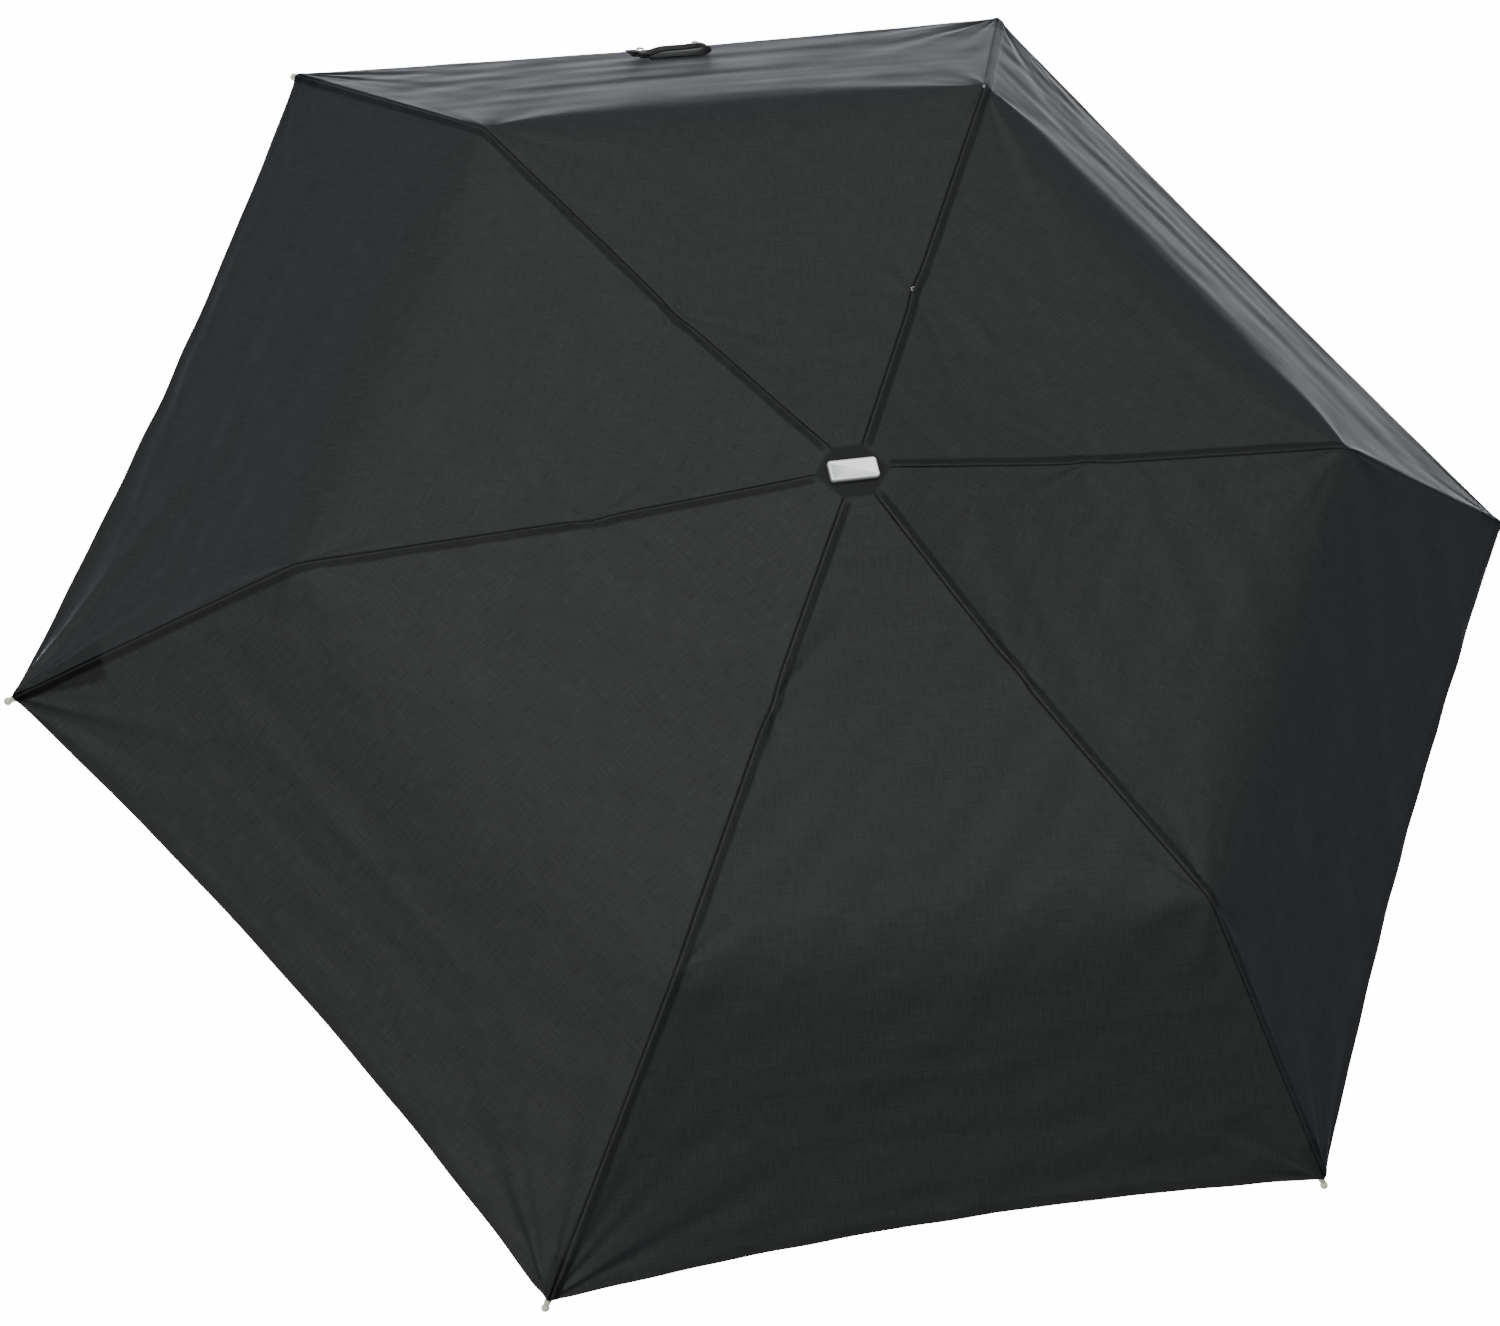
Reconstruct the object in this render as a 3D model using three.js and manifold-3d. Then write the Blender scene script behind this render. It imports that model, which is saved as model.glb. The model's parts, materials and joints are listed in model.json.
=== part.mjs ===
// Folding pocket umbrella, shown open: a flat-section, three-fold, six-rib model.
// Millimetres, +Z up the shaft. The origin is the centre of the handle's flat lower face,
// and +X runs along the long side of the flat handle and of the top cap.

import * as THREE from 'three';
import { mergeVertices } from 'three/addons/utils/BufferGeometryUtils.js';
import Module from 'manifold-3d';

const wasm = await Module();
wasm.setup();

// ---- Driving dimensions --------------------------------------------------------------------

const GAP = 0.3; // clearance between pieces that touch

// Shaft: three hexagonal tubes, each given by the distance from its axis to a flat.
const UPPER_FLAT = { out: 5.0, in: 4.4 };
const MIDDLE_FLAT = { out: 4.1, in: 3.5 };
const LOWER_FLAT = { out: 3.2, in: 2.6 };
const UPPER_TUBE_Z = [336, 506.7];
const MIDDLE_TUBE_Z = [196, 352];
const LOWER_TUBE_Z = [10, 212];
const CATCH_RADIUS = 1.0;
const CATCH_BELOW_TOP = 8;

// Handle.
const HANDLE_SIZE = { x: 40, y: 22, corner: 9, height: 55 };
const HANDLE_WALL = 2.4;
const HANDLE_CAP_HEIGHT = 6;
const HANDLE_CORE = { x: 22, y: 13, corner: 4, top: 50 };
const HANDLE_PIN_Z = 20;
const HANDLE_PIN_RADIUS = 1.2;

// Crown and runner. The two ribs along X pivot further out than the four others.
const PIVOT_Z = 505;
const RIB_AZIMUTHS = [0, 60, 120, 180, 240, 300];
const PIVOT_RADII = [12.5, 8.5, 8.5, 12.5, 8.5, 8.5];
const CROWN = { a: 17.5, b: 13.5, bottom: -6, top: 5, slotTop: 2.8, socketTop: 2 };
const CROWN_STUD = { radius: 3.5, top: 9 };
const CROWN_WIRE_HALF = 0.6;
const RUNNER_FLANGE = { a: 19, b: 13, height: 8 };
const RUNNER_GRIP = { a: 16, b: 11.5, height: 18 };
const RUNNER_TOP_ABOVE_PIVOT = 3.4;
const LATCH = { thick: 0.8, width: 2.4, height: 11, proud: 1.1 };

// Rib chain in its own plane, from the crown pivot: u outward, w up.
const JOINT_S = [131, -19.5]; // top rib to middle rib
const JOINT_K = [291.2, -37.6]; // middle rib to end rib
const ROD_END = [438.2, -165.4]; // end rib's tip
const JOINT_Q1 = [66.2, -15.6]; // top rib to stretcher
const JOINT_S2 = [117.1, -17.9]; // middle rib's lever to push link
const LEVER_ON_STRETCHER = 14.2; // from JOINT_Q1 towards the runner
const TOP_RIB_LINE = [[9.6, -1.5], [132.5, -22.0]];
const MIDDLE_RIB_LINE = [[143, -22.74], [289.2, -34.25]];

// Canopy: outer-surface rings at the ribs, from the hub out to the tips.
const CANOPY_Z = { hub: 511.7, s: 488.6, k: 473.6, t: 342.8 };
const CANOPY_U = { hub: 10.5, s: 131.4, k: 291.5, t: 439.2 };
const CANOPY_THICK = 0.7;
const HOLE_CLEARANCE = 1.2; // round the crown's stud
const HEM_DIP = 12; // how far the middle of a hem lies inside the straight line
const ROSETTE = { u: 13.5, thick: 0.5 };

const TOP_CAP = { x: 28, y: 12.4, corner: 2, bottom: 7, height: 3 };
const STRAP = { length: 46, width: 14, thick: 2.4, azimuth: 89.5, inFromHem: 12 };

// ---- Shared shapes ---------------------------------------------------------------------------

const rad = THREE.MathUtils.degToRad;
const BIG = 1000;

function toSolid(geometry) {
  geometry.deleteAttribute('normal');
  geometry.deleteAttribute('uv');
  const merged = mergeVertices(geometry, 1e-4);
  return new wasm.Manifold(new wasm.Mesh({
    numProp: 3,
    vertProperties: new Float32Array(merged.attributes.position.array),
    triVerts: new Uint32Array(merged.index.array),
  }));
}

function toGeometry(body) {
  const mesh = body.getMesh();
  const geometry = new THREE.BufferGeometry();
  geometry.setAttribute('position', new THREE.BufferAttribute(new Float32Array(mesh.vertProperties), 3));
  geometry.setIndex(new THREE.BufferAttribute(new Uint32Array(mesh.triVerts), 1));
  geometry.computeVertexNormals();
  return geometry;
}

const join = (...bodies) => bodies.reduce((whole, next) => whole.add(next));
const cut = (body, ...tools) => tools.reduce((rest, tool) => rest.subtract(tool), body);

function shapeFrom(points) {
  return new THREE.Shape(points.map(([x, y]) => new THREE.Vector2(x, y)));
}

// A prism over an outline in the XY plane, between two heights.
function prismGeometry(outline, z0, z1, hole) {
  const shape = shapeFrom(outline);
  if (hole) shape.holes.push(new THREE.Path(hole.map(([x, y]) => new THREE.Vector2(x, y))));
  return new THREE.ExtrudeGeometry(shape, { depth: z1 - z0, bevelEnabled: false }).translate(0, 0, z0);
}

const prism = (outline, z0, z1) => toSolid(prismGeometry(outline, z0, z1));

// A plate in the rib's plane (u, w), between two sideways places.
function plate(points, v0, v1) {
  const flat = new THREE.ExtrudeGeometry(shapeFrom(points), { depth: v1 - v0, bevelEnabled: false });
  return toSolid(flat.rotateX(Math.PI / 2).translate(0, v1, 0));
}

function pinAcross([u, w], radius, v0, v1, sides = 8) {
  const pin = new THREE.CylinderGeometry(radius, radius, v1 - v0, sides);
  return toSolid(pin.translate(u, (v0 + v1) / 2, w));
}

// A straight bar along a line in the rib's plane: the half depths lie above and below the line.
function bar([p, q], up, down, v0, v1) {
  const along = new THREE.Vector2(q[0] - p[0], q[1] - p[1]).normalize();
  const side = ([u, w], s) => [u - along.y * s, w + along.x * s];
  return plate([side(p, -down), side(q, -down), side(q, up), side(p, up)], v0, v1);
}

function pointAlong(p, q, distance) {
  const length = Math.hypot(q[0] - p[0], q[1] - p[1]);
  return [0, 1].map((i) => p[i] + ((q[i] - p[i]) * distance) / length);
}

// A U channel, open downwards, along a centre line.
function channel(line, depth, halfWidth, wall) {
  const outer = bar(line, depth / 2, depth / 2, -halfWidth, halfWidth);
  const [a, b] = line;
  const longer = [pointAlong(a, b, -1), pointAlong(b, a, -1)];
  const inner = bar(longer, depth / 2 - wall, depth, wall - halfWidth, halfWidth - wall);
  return cut(outer, inner);
}

const hexagon = (flat) => RIB_AZIMUTHS.map((azimuth) => {
  const angle = rad(azimuth + 30);
  const corner = flat / Math.cos(rad(30));
  return [corner * Math.cos(angle), corner * Math.sin(angle)];
});

function ellipse(a, b, steps = 36) {
  return Array.from({ length: steps }, (_, i) => {
    const angle = (2 * Math.PI * i) / steps;
    return [a * Math.cos(angle), b * Math.sin(angle)];
  });
}

function roundedRectangle(sizeX, sizeY, corner, steps = 6) {
  const centres = [[1, 1, 0], [-1, 1, 90], [-1, -1, 180], [1, -1, 270]];
  return centres.flatMap(([sx, sy, start]) => Array.from({ length: steps + 1 }, (_, i) => {
    const angle = rad(start + (90 * i) / steps);
    return [
      sx * (sizeX / 2 - corner) + corner * Math.cos(angle),
      sy * (sizeY / 2 - corner) + corner * Math.sin(angle),
    ];
  }));
}

// A hexagon whose six sides face the ribs, each side at its pivot's radius plus an offset.
function pivotPolygon(offset) {
  return RIB_AZIMUTHS.map((azimuth, i) => {
    const next = (i + 1) % RIB_AZIMUTHS.length;
    const [a, b] = [rad(azimuth), rad(RIB_AZIMUTHS[next])];
    const [p, q] = [PIVOT_RADII[i] + offset, PIVOT_RADII[next] + offset];
    const det = Math.sin(b - a);
    return [(p * Math.sin(b) - q * Math.sin(a)) / det, (q * Math.cos(a) - p * Math.cos(b)) / det];
  });
}

// Radial slots, one for each rib, starting at an offset from its pivot.
function ribSlots(halfWidth, fromPivot, toPivot, z0, z1) {
  return RIB_AZIMUTHS.map((azimuth, i) => {
    const r = PIVOT_RADII[i];
    const outline = [
      [r + fromPivot, -halfWidth], [r + toPivot, -halfWidth],
      [r + toPivot, halfWidth], [r + fromPivot, halfWidth],
    ];
    return prism(outline, z0, z1).rotate([0, 0, azimuth]);
  });
}

// ---- Scene graph -------------------------------------------------------------------------------

const group = new THREE.Group();
const MATERIALS = {
  fabric: { color: 0x1b1c1d, roughness: 0.62, metalness: 0 },
  lining: { color: 0x101112, roughness: 0.8, metalness: 0 },
  blackPlastic: { color: 0x17181a, roughness: 0.4, metalness: 0 },
  greyPlastic: { color: 0x3a3c3f, roughness: 0.5, metalness: 0 },
  aluminium: { color: 0xb9bcc0, roughness: 0.35, metalness: 1 },
  paintedSteel: { color: 0x26282b, roughness: 0.4, metalness: 0.8 },
  brightSteel: { color: 0xc8cacc, roughness: 0.25, metalness: 1 },
  satinSilver: { color: 0xc3c8ca, roughness: 0.38, metalness: 0.7 },
  creamPlastic: { color: 0xd8d2c0, roughness: 0.45, metalness: 0 },
};

function addMesh(parent, name, geometry, finish) {
  const mesh = new THREE.Mesh(geometry, new THREE.MeshStandardMaterial(MATERIALS[finish]));
  mesh.name = name;
  parent.add(mesh);
  return mesh;
}

// ---- Handle --------------------------------------------------------------------------------------

function buildHandle() {
  const { x, y, corner, height } = HANDLE_SIZE;
  const outer = roundedRectangle(x, y, corner);
  const inner = roundedRectangle(x - 2 * HANDLE_WALL, y - 2 * HANDLE_WALL, corner - HANDLE_WALL);
  const capTop = HANDLE_CAP_HEIGHT;
  const shellBottom = capTop + GAP;
  const roof = HANDLE_CORE.top + 2 * GAP;
  const hollow = prism(inner, shellBottom - 1, roof);
  const collar = prism(hexagon(LOWER_FLAT.out + GAP), roof - 1, height + 1);
  const casing = cut(prism(outer, shellBottom, height), hollow, collar);
  const half = (sign) => {
    const [near, far] = [sign * (GAP / 2), sign * y];
    const box = [[-x, Math.min(near, far)], [x, Math.min(near, far)], [x, Math.max(near, far)],
      [-x, Math.max(near, far)]];
    return casing.intersect(prism(box, -1, height + 1));
  };
  addMesh(group, 'handle_front_shell', toGeometry(half(-1)), 'blackPlastic');
  addMesh(group, 'handle_rear_shell', toGeometry(half(1)), 'blackPlastic');

  const inset = HANDLE_WALL + GAP;
  const plug = roundedRectangle(x - 2 * inset, y - 2 * inset, corner - inset);
  const tubeFoot = LOWER_TUBE_Z[0] - GAP;
  const endCap = join(prism(outer, 0, capTop), prism(plug, capTop - 1, tubeFoot - 1));
  addMesh(group, 'handle_end_cap', toGeometry(endCap), 'blackPlastic');

  const pinHole = toSolid(new THREE.CylinderGeometry(
    HANDLE_PIN_RADIUS + GAP, HANDLE_PIN_RADIUS + GAP, y, 12,
  ).translate(0, 0, HANDLE_PIN_Z));
  const core = cut(
    prism(roundedRectangle(HANDLE_CORE.x, HANDLE_CORE.y, HANDLE_CORE.corner), tubeFoot - 0.5,
      HANDLE_CORE.top),
    prism(hexagon(LOWER_FLAT.out + GAP), 0, BIG),
    pinHole,
  );
  addMesh(group, 'handle_core', toGeometry(core), 'greyPlastic');
  addMesh(group, 'handle_pin', new THREE.CylinderGeometry(
    HANDLE_PIN_RADIUS, HANDLE_PIN_RADIUS, HANDLE_CORE.y, 12,
  ).translate(0, 0, HANDLE_PIN_Z), 'brightSteel');
  return pinHole;
}

// ---- Shaft ---------------------------------------------------------------------------------------

const catchHole = (z) => toSolid(new THREE.CylinderGeometry(
  CATCH_RADIUS + GAP, CATCH_RADIUS + GAP, 10, 12,
).rotateZ(Math.PI / 2).translate(5, 0, z));

function addCatch(name, flat, z) {
  const thick = flat.out - flat.in - 0.1;
  const button = new THREE.CylinderGeometry(CATCH_RADIUS, CATCH_RADIUS, thick, 12);
  addMesh(group, name, button.rotateZ(Math.PI / 2).translate(flat.in + thick / 2 + 0.05, 0, z),
    'brightSteel');
}

function buildShaft(pinHole) {
  const tube = (flat, [z0, z1]) => toSolid(
    prismGeometry(hexagon(flat.out), z0, z1, hexagon(flat.in)),
  );
  const lowerCatchZ = LOWER_TUBE_Z[1] - CATCH_BELOW_TOP;
  const middleCatchZ = MIDDLE_TUBE_Z[1] - CATCH_BELOW_TOP;
  const lower = cut(tube(LOWER_FLAT, LOWER_TUBE_Z), pinHole, catchHole(lowerCatchZ));
  const middle = cut(tube(MIDDLE_FLAT, MIDDLE_TUBE_Z), catchHole(middleCatchZ));
  addMesh(group, 'lower_tube', toGeometry(lower), 'aluminium');
  addCatch('lower_catch', LOWER_FLAT, lowerCatchZ);
  addMesh(group, 'middle_tube', toGeometry(middle), 'aluminium');
  addCatch('middle_catch', MIDDLE_FLAT, middleCatchZ);

  const latchTop = runnerBottom() - GAP;
  const { thick, width, height, proud } = LATCH;
  const window = prism([
    [-8, -width / 2 - GAP], [-3, -width / 2 - GAP], [-3, width / 2 + GAP], [-8, width / 2 + GAP],
  ], latchTop - height - GAP, latchTop + GAP);
  addMesh(group, 'upper_tube', toGeometry(cut(tube(UPPER_FLAT, UPPER_TUBE_Z), window)), 'aluminium');

  const face = -UPPER_FLAT.out - proud;
  const latch = plate([
    [face + thick, latchTop - height], [face + thick, latchTop], [face, latchTop],
    [face, latchTop - 3], [face + thick - 0.2, latchTop - height],
  ], -width / 2, width / 2);
  addMesh(group, 'runner_latch', toGeometry(latch), 'brightSteel');
}

// ---- Crown, its wire, and the top cap ----------------------------------------------------------

function buildCrown() {
  const z = (w) => PIVOT_Z + w;
  const wireGroove = cut(
    prism(pivotPolygon(CROWN_WIRE_HALF + GAP), z(CROWN.bottom - 1), z(CROWN_WIRE_HALF + GAP)),
    prism(pivotPolygon(-CROWN_WIRE_HALF - GAP), z(CROWN.bottom - 2), z(BIG)),
  );
  const crown = cut(
    prism(ellipse(CROWN.a, CROWN.b), z(CROWN.bottom), z(CROWN.top)),
    prism(hexagon(UPPER_FLAT.out + GAP), z(CROWN.bottom - 1), z(CROWN.socketTop)),
    wireGroove,
    ...ribSlots(1.1, -2.5, 20, z(CROWN.bottom - 1), z(CROWN.slotTop)),
  );
  const stud = prism(ellipse(CROWN_STUD.radius, CROWN_STUD.radius, 16), z(CROWN.top - 1),
    z(CROWN_STUD.top));
  addMesh(group, 'crown', toGeometry(join(crown, stud)), 'blackPlastic');

  const wire = prismGeometry(
    pivotPolygon(CROWN_WIRE_HALF), z(-CROWN_WIRE_HALF), z(CROWN_WIRE_HALF),
    pivotPolygon(-CROWN_WIRE_HALF),
  );
  addMesh(group, 'crown_wire', toGeometry(toSolid(wire)), 'brightSteel');

  const { x, y, corner, bottom, height } = TOP_CAP;
  const chamfer = 0.8;
  const cap = cut(
    join(
      prism(roundedRectangle(x, y, corner, 3), z(bottom), z(bottom + height - chamfer)),
      prism(roundedRectangle(x - 2 * chamfer, y - 2 * chamfer, corner - 0.7, 3), z(bottom),
        z(bottom + height)),
    ),
    prism(ellipse(CROWN_STUD.radius + GAP, CROWN_STUD.radius + GAP, 16), z(bottom - 1),
      z(CROWN_STUD.top + GAP)),
  );
  addMesh(group, 'top_cap', toGeometry(cap), 'satinSilver');
}

// ---- Runner --------------------------------------------------------------------------------------

const runnerPivotZ = () => PIVOT_Z + 2 * JOINT_Q1[1];
const runnerTop = () => runnerPivotZ() + RUNNER_TOP_ABOVE_PIVOT;
const runnerBottom = () => runnerTop() - RUNNER_FLANGE.height - RUNNER_GRIP.height;

function buildRunner() {
  const [top, bottom] = [runnerTop(), runnerBottom()];
  const step = top - RUNNER_FLANGE.height;
  const flange = prism(ellipse(RUNNER_FLANGE.a, RUNNER_FLANGE.b), step, top);
  const grip = prism(ellipse(RUNNER_GRIP.a, RUNNER_GRIP.b), bottom, step + 1);
  const keyway = prism([[-6.5, -1.6], [-4, -1.6], [-4, 1.6], [-6.5, 1.6]], bottom - 1, top + 1);
  const runner = cut(
    join(flange, grip),
    prism(hexagon(UPPER_FLAT.out + GAP), bottom - 1, top + 1),
    keyway,
    ...ribSlots(1.4, -1.9, 20, bottom - 1, top + 1),
    ...ribSlots(2.3, -1.3, 1.3, bottom - 1, top + 1),
  );
  addMesh(group, 'runner', toGeometry(runner), 'blackPlastic');
}

// ---- Rib chain -----------------------------------------------------------------------------------

const CROWN_PIVOT = [0, 0];
const RUNNER_PIVOT = [0, 2 * JOINT_Q1[1]];
const JOINT_Q2 = pointAlong(JOINT_Q1, RUNNER_PIVOT, LEVER_ON_STRETCHER);
const PIN = 0.7; // pivot pin radius
const EYE = PIN + GAP; // pivot hole radius
const CHEEK = [1.8, 2.4]; // the middle rib's cheeks, on both sides of the top rib
const LINK = [2.7, 3.3]; // the push link, outside the cheek

function topRibBody() {
  const [inner, outer] = TOP_RIB_LINE;
  const tongue = bar([CROWN_PIVOT, pointAlong(inner, outer, 5)], 1.2, 1.2, -0.8, 0.8);
  const bracketTop = pointAlong(inner, outer, 60);
  const bracket = plate([
    [bracketTop[0] - 5, bracketTop[1] + 1.6], [JOINT_Q1[0] - 1.6, JOINT_Q1[1] + 0.4],
    [JOINT_Q1[0] + 1.6, JOINT_Q1[1] + 0.4], [bracketTop[0] + 5, bracketTop[1] + 0.6],
  ], -0.7, 0.7);
  const ear = plate([
    [JOINT_S[0] - 4, outer[1] + 0.6], [JOINT_S[0] + 1.5, outer[1]], [JOINT_S[0] + 1.5, JOINT_S[1]],
    [JOINT_S[0] - 1.5, JOINT_S[1] + 0.4],
  ], -1.5, 1.5);
  return cut(
    join(
      channel(TOP_RIB_LINE, 3, 1.5, 0.5), tongue, pinAcross(CROWN_PIVOT, 2.1, -0.8, 0.8),
      bracket, pinAcross(JOINT_Q1, 1.6, -0.7, 0.7), ear, pinAcross(JOINT_S, 1.5, -1.5, 1.5),
    ),
    pinAcross(CROWN_PIVOT, 1.15, -2, 2), pinAcross(JOINT_Q1, EYE, -2, 2),
    pinAcross(JOINT_S, EYE, -2, 2),
  );
}

function stretcherBody() {
  const cheekEnd = pointAlong(JOINT_Q1, RUNNER_PIVOT, 20);
  const shankStart = pointAlong(JOINT_Q1, RUNNER_PIVOT, 17);
  const cheek = (v0, v1) => join(
    bar([JOINT_Q1, cheekEnd], 1.3, 1.3, v0, v1), pinAcross(JOINT_Q1, 1.5, v0, v1),
  );
  return join(
    cheek(1.0, 1.6), cheek(-1.6, -1.0), pinAcross(JOINT_Q1, PIN, -1.6, 1.6),
    bar([shankStart, cheekEnd], 1.3, 1.3, -1.6, 1.6),
    bar([shankStart, RUNNER_PIVOT], 1.3, 1.3, -1.0, 1.0),
    pinAcross(RUNNER_PIVOT, 1.3, -1.0, 1.0), pinAcross(RUNNER_PIVOT, 1.0, -2.0, 2.0),
    pinAcross(JOINT_Q2, PIN, 1.2, LINK[0] - GAP),
  );
}

function middleRibBody() {
  const [inner, outer] = MIDDLE_RIB_LINE;
  const cheekEnd = pointAlong(inner, outer, 4);
  const cheek = ([v0, v1]) => join(
    bar([JOINT_S, cheekEnd], 1.4, 1.4, v0, v1), pinAcross(JOINT_S, 1.6, v0, v1),
  );
  const lever = join(
    bar([JOINT_S2, JOINT_S], 1.3, 1.3, ...CHEEK), pinAcross(JOINT_S2, 1.4, ...CHEEK),
    pinAcross(JOINT_S2, PIN, CHEEK[0], LINK[1] + 0.2),
  );
  const otherSide = CHEEK.map((v) => -v).reverse();
  const ear = ([v0, v1]) => join(
    plate([
      [JOINT_K[0] - 5, outer[1]], [JOINT_K[0] - 1.5, JOINT_K[1]], [JOINT_K[0] + 1.4, JOINT_K[1]],
      [outer[0], outer[1] + 1],
    ], v0, v1),
    pinAcross(JOINT_K, 1.5, v0, v1),
  );
  return join(
    channel(MIDDLE_RIB_LINE, 2.8, CHEEK[1], CHEEK[1] - CHEEK[0]), cheek(CHEEK), cheek(otherSide),
    lever, pinAcross(JOINT_S, PIN, -CHEEK[1], CHEEK[1]),
    ear(CHEEK), ear(otherSide), pinAcross(JOINT_K, PIN, -CHEEK[1], CHEEK[1]),
  );
}

function pushLinkBody() {
  return cut(
    join(
      bar([JOINT_Q2, JOINT_S2], 1.1, 1.1, ...LINK), pinAcross(JOINT_Q2, 1.4, ...LINK),
      pinAcross(JOINT_S2, 1.5, ...LINK),
    ),
    pinAcross(JOINT_S2, EYE, 0, 5),
  );
}

const ROD_RADIUS = 1.1;
const ROD_SLOPE = Math.atan2(ROD_END[1] - JOINT_K[1], ROD_END[0] - JOINT_K[0]);

// A lathe shape laid along the end rib, with its start at a distance from the rod's end.
function alongRod(profile, fromEnd, sides) {
  const start = pointAlong(ROD_END, JOINT_K, fromEnd);
  const lathe = new THREE.LatheGeometry(profile.map(([r, y]) => new THREE.Vector2(r, y)), sides);
  return lathe.rotateZ(-Math.PI / 2).rotateY(-ROD_SLOPE).translate(start[0], 0, start[1]);
}

function endRibBody() {
  const length = Math.hypot(ROD_END[0] - JOINT_K[0], ROD_END[1] - JOINT_K[1]);
  const [rodStart, rodStop] = [8, 2];
  const rodLength = length - rodStart - rodStop;
  const profile = [[0, 0], [ROD_RADIUS, 0], [ROD_RADIUS, rodLength], [0, rodLength]];
  const rod = toSolid(alongRod(profile, length - rodStart, 10));
  const tongue = bar([JOINT_K, pointAlong(JOINT_K, ROD_END, 12)], 1.3, 1.3, -1.0, 1.0);
  return cut(
    join(rod, tongue, pinAcross(JOINT_K, 1.5, -1.0, 1.0)),
    pinAcross(JOINT_K, EYE, -2, 2),
  );
}

// The tip: a sleeve on the rod's end, closed by a small ball, with a blind hole for the rod.
function ribTipBody() {
  const hole = ROD_RADIUS + 0.25;
  const profile = [
    [hole, 0], [1.9, 0], [2.1, 5], [1.7, 8], [1.7, 8.6], [2.3, 9.6], [2.3, 10.8], [1.5, 12.0],
    [0, 12.4], [0, 8.6], [hole, 8.6], [hole, 0],
  ];
  return toSolid(alongRod(profile, 10, 12));
}

function buildRibs() {
  const pieces = [
    ['top_rib', topRibBody(), 'paintedSteel'],
    ['stretcher', stretcherBody(), 'paintedSteel'],
    ['push_link', pushLinkBody(), 'brightSteel'],
    ['middle_rib', middleRibBody(), 'paintedSteel'],
    ['end_rib', endRibBody(), 'paintedSteel'],
    ['rib_tip', ribTipBody(), 'creamPlastic'],
  ];
  RIB_AZIMUTHS.forEach((azimuth, i) => {
    const rib = new THREE.Group();
    const angle = rad(azimuth);
    rib.position.set(PIVOT_RADII[i] * Math.cos(angle), PIVOT_RADII[i] * Math.sin(angle), PIVOT_Z);
    rib.rotation.z = angle;
    for (const [name, body, finish] of pieces) {
      addMesh(rib, `${name}_${i + 1}`, toGeometry(body), finish);
    }
    group.add(rib);
  });
}

// ---- Canopy --------------------------------------------------------------------------------------

// The point on a rib's ridge line, at a distance out from the crown pivot.
function ridgePoint(i, u, z) {
  const r = PIVOT_RADII[i] + u;
  const angle = rad(RIB_AZIMUTHS[i]);
  return new THREE.Vector3(r * Math.cos(angle), r * Math.sin(angle), z);
}

// A corner of the hole round the crown's stud.
const holePoint = (i, z) => ridgePoint(i, CROWN_STUD.radius + HOLE_CLEARANCE - PIVOT_RADII[i], z);

// The middle of the hem between two tips, pulled in along the panel.
function hemMiddle(i) {
  const next = (i + 1) % RIB_AZIMUTHS.length;
  const middle = (u, z) => ridgePoint(i, u, z).add(ridgePoint(next, u, z)).multiplyScalar(0.5);
  const hem = middle(CANOPY_U.t, CANOPY_Z.t);
  const inward = middle(CANOPY_U.k, CANOPY_Z.k).sub(hem).normalize();
  return hem.addScaledVector(inward, HEM_DIP);
}

// A closed skin from a sheet of faces: the sheet, the same sheet lowered, and walls at its edges.
function thickSheet(points, faces, thick) {
  const count = points.length;
  const lowered = points.map((p) => p.clone().setZ(p.z - thick));
  const all = [...points, ...lowered];
  const triangles = faces.flatMap(([a, b, c]) => [[a, b, c], [a + count, c + count, b + count]]);
  const edges = new Map();
  for (const face of faces) {
    face.forEach((a, i) => edges.set(`${a},${face[(i + 1) % 3]}`, [a, face[(i + 1) % 3]]));
  }
  for (const [a, b] of edges.values()) {
    if (edges.has(`${b},${a}`)) continue;
    triangles.push([b, a, a + count], [b, a + count, b + count]);
  }
  const geometry = new THREE.BufferGeometry();
  geometry.setAttribute('position', new THREE.Float32BufferAttribute(
    all.flatMap((p) => p.toArray()), 3,
  ));
  geometry.setIndex(triangles.flat());
  geometry.computeVertexNormals();
  return geometry;
}

function buildCanopy() {
  const rings = [
    (i) => holePoint(i, CANOPY_Z.hub),
    (i) => ridgePoint(i, CANOPY_U.hub, CANOPY_Z.hub),
    (i) => ridgePoint(i, CANOPY_U.s, CANOPY_Z.s),
    (i) => ridgePoint(i, CANOPY_U.k, CANOPY_Z.k),
    (i) => ridgePoint(i, CANOPY_U.t, CANOPY_Z.t),
  ];
  const ribs = RIB_AZIMUTHS.length;
  const points = rings.flatMap((ring) => RIB_AZIMUTHS.map((_, i) => ring(i)));
  const faces = [];
  for (let i = 0; i < ribs; i += 1) {
    const next = (i + 1) % ribs;
    for (let ring = 0; ring < rings.length - 2; ring += 1) {
      const [a, b] = [ring * ribs + i, ring * ribs + next];
      faces.push([a, a + ribs, b + ribs], [a, b + ribs, b]);
    }
    const [k0, k1] = [3 * ribs + i, 3 * ribs + next];
    const [t0, t1] = [4 * ribs + i, 4 * ribs + next];
    const hem = points.push(hemMiddle(i)) - 1;
    faces.push([k0, t0, hem], [k0, hem, k1], [k1, hem, t1]);
  }
  addMesh(group, 'canopy', thickSheet(points, faces, CANOPY_THICK), 'fabric');
}

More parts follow.
